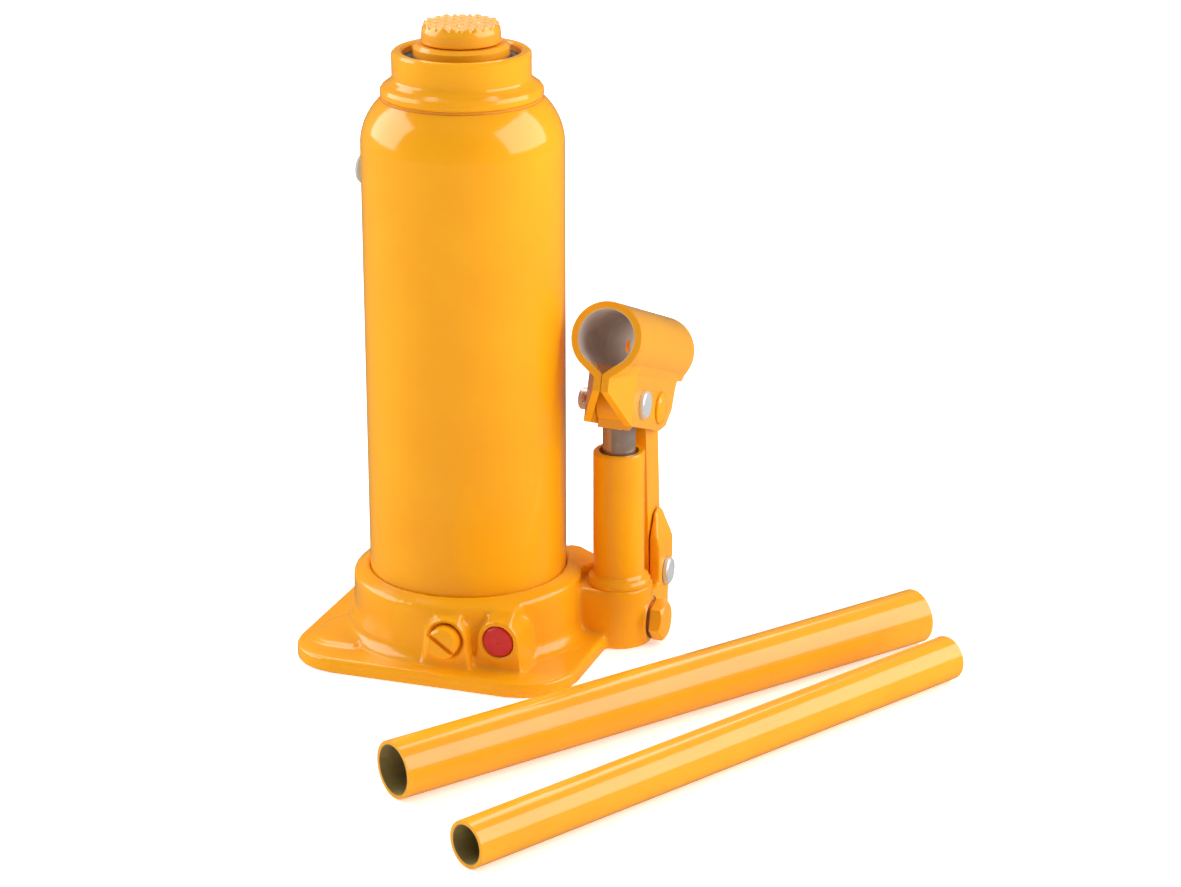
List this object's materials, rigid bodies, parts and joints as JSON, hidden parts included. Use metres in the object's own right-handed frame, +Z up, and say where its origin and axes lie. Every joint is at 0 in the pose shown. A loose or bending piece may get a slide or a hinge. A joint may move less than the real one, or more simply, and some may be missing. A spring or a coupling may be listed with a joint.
{
  "type": "hydraulic bottle jack",
  "caption": "Hydraulic bottle jack: toothed screw saddle on a rising ram, side hand pump with tilting handle socket, release valve on the foot, and a loose handle in tubes.",
  "frame": {"origin": "ram axis at the underside of the base", "axes": "+Z up along the ram axis; the handle socket and the release valve face -Y; the hand pump stands on the +X side"},
  "size_m": [0.2375, 0.2486, 0.23],
  "materials": {
    "cast_enamel": "gloss enamel over cast iron",
    "tank_enamel": "gloss enamel over drawn steel tube",
    "turned_enamel": "gloss enamel over turned steel",
    "forged_enamel": "gloss enamel over forged steel",
    "tube_enamel": "gloss enamel outside, bare oiled steel inside",
    "socket_enamel": "gloss enamel outside, bare steel inside",
    "ram_steel": "ground steel, enamel on the exposed top",
    "screw_steel": "forged steel, enamel on the saddle head",
    "pump_rod_steel": "ground steel, enamel on the eye",
    "red_plastic": "moulded",
    "zinc_plate": "bright zinc plate",
    "machined_steel": "turned, oiled",
    "bearing_steel": "hardened and polished",
    "spring_steel": "blued spring wire and strip",
    "bronze": "turned bronze",
    "copper": "annealed copper",
    "black_rubber": "oiled nitrile",
    "amber_seal": "moulded polyurethane",
    "fibre_gasket": "oiled fibre board",
    "grey_rubber": "moulded"
  },
  "bodies": {
    "jack": {"base": "cast_enamel", "tank": "tank_enamel", "tank_foot_gasket": "fibre_gasket", "tank_top_gasket": "fibre_gasket", "pressure_cylinder": "machined_steel", "cylinder_washer": "copper", "ram_guide_bush": "bronze", "cap_nut": "turned_enamel", "rod_seal": "black_rubber", "wiper_ring": "black_rubber", "overload_plug": "red_plastic", "overload_adjuster": "machined_steel", "overload_ball": "bearing_steel", "overload_spring": "spring_steel", "delivery_seat": "bronze", "delivery_ball": "bearing_steel", "delivery_spring": "spring_steel", "suction_ball": "bearing_steel", "suction_plug": "machined_steel", "valve_plug": "forged_enamel", "valve_plug_washer": "copper", "oil_strainer": "bronze", "pump_cylinder": "turned_enamel", "pump_washer": "copper", "pump_wiper": "black_rubber", "ear_pin": "zinc_plate", "ear_split_pin": "zinc_plate"},
    "ram": {"ram": "ram_steel", "ram_piston": "machined_steel", "cup_seal": "amber_seal", "guide_ring": "amber_seal"},
    "screw_stop": {"screw_stop": "machined_steel"},
    "screw": {"extension_screw": "screw_steel", "screw_circlip": "spring_steel"},
    "release_ball": {"release_ball": "bearing_steel"},
    "release_screw": {"release_screw": "forged_enamel", "release_o_ring": "black_rubber"},
    "pump_piston": {"pump_piston": "pump_rod_steel", "pump_seal": "amber_seal"},
    "socket": {"handle_socket": "socket_enamel", "piston_pin": "zinc_plate", "piston_split_pin": "zinc_plate", "link_pin": "forged_enamel"},
    "link": {"link": "forged_enamel"},
    "filler_plug": {"filler_plug": "grey_rubber"},
    "handle_big": {"handle_tube_big": "tube_enamel"},
    "handle_small": {"handle_tube_small": "tube_enamel"}
  },
  "joints": [
    {"name": "ram_lift", "type": "slide", "parent": "jack", "child": "ram", "axis": [0, 0, 1], "range_m": [0, 0.147]},
    {"name": "screw_rise", "type": "slide", "parent": "ram", "child": "screw_stop", "axis": [0, 0, 1], "range_m": [0, 0.0735]},
    {"name": "screw_turn", "type": "hinge", "parent": "screw_stop", "child": "screw", "pos_m": [0, 0, 0.2], "axis": [0, 0, 1], "range_deg": [0, 6620]},
    {"name": "release_travel", "type": "slide", "parent": "jack", "child": "release_ball", "axis": [0, -1, 0], "range_m": [0, 0.00187]},
    {"name": "release_turn", "type": "hinge", "parent": "release_ball", "child": "release_screw", "pos_m": [0.0081, -0.045, 0.0164], "axis": [0, -1, 0], "range_deg": [0, 541]},
    {"name": "pump_stroke", "type": "slide", "parent": "jack", "child": "pump_piston", "axis": [0, 0, 1], "range_m": [-0.00755, 0.00886]},
    {"name": "socket_swing", "type": "hinge", "parent": "pump_piston", "child": "socket", "pos_m": [0.0533, 0.0148, 0.0917], "axis": [-1, 0, 0], "range_deg": [-23.1, 27.1]},
    {"name": "link_swing", "type": "hinge", "parent": "jack", "child": "link", "pos_m": [0.0533, 0.04, 0.0183], "axis": [1, 0, 0], "range_deg": [-2.9, 3.4]},
    {"name": "filler_pull", "type": "slide", "parent": "jack", "child": "filler_plug", "axis": [-1, 0, 0], "range_m": [0, 0.02]},
    {"name": "big_tube_lift", "type": "slide", "parent": "jack", "child": "handle_big", "axis": [0, 0, 1], "range_m": [0, 0.3]},
    {"name": "small_tube_lift", "type": "slide", "parent": "jack", "child": "handle_small", "axis": [0, 0, 1], "range_m": [0, 0.3]}
  ],
  "couplings": [
    {"joint": "screw_turn", "follows": "screw_rise", "rad_per_m": 1570.8},
    {"joint": "release_turn", "follows": "release_travel", "rad_per_m": 5026.5},
    {"joint": "socket_swing", "follows": "pump_stroke", "rad_per_m": 53.191},
    {"joint": "link_swing", "follows": "pump_stroke", "rad_per_m": 6.617}
  ]
}
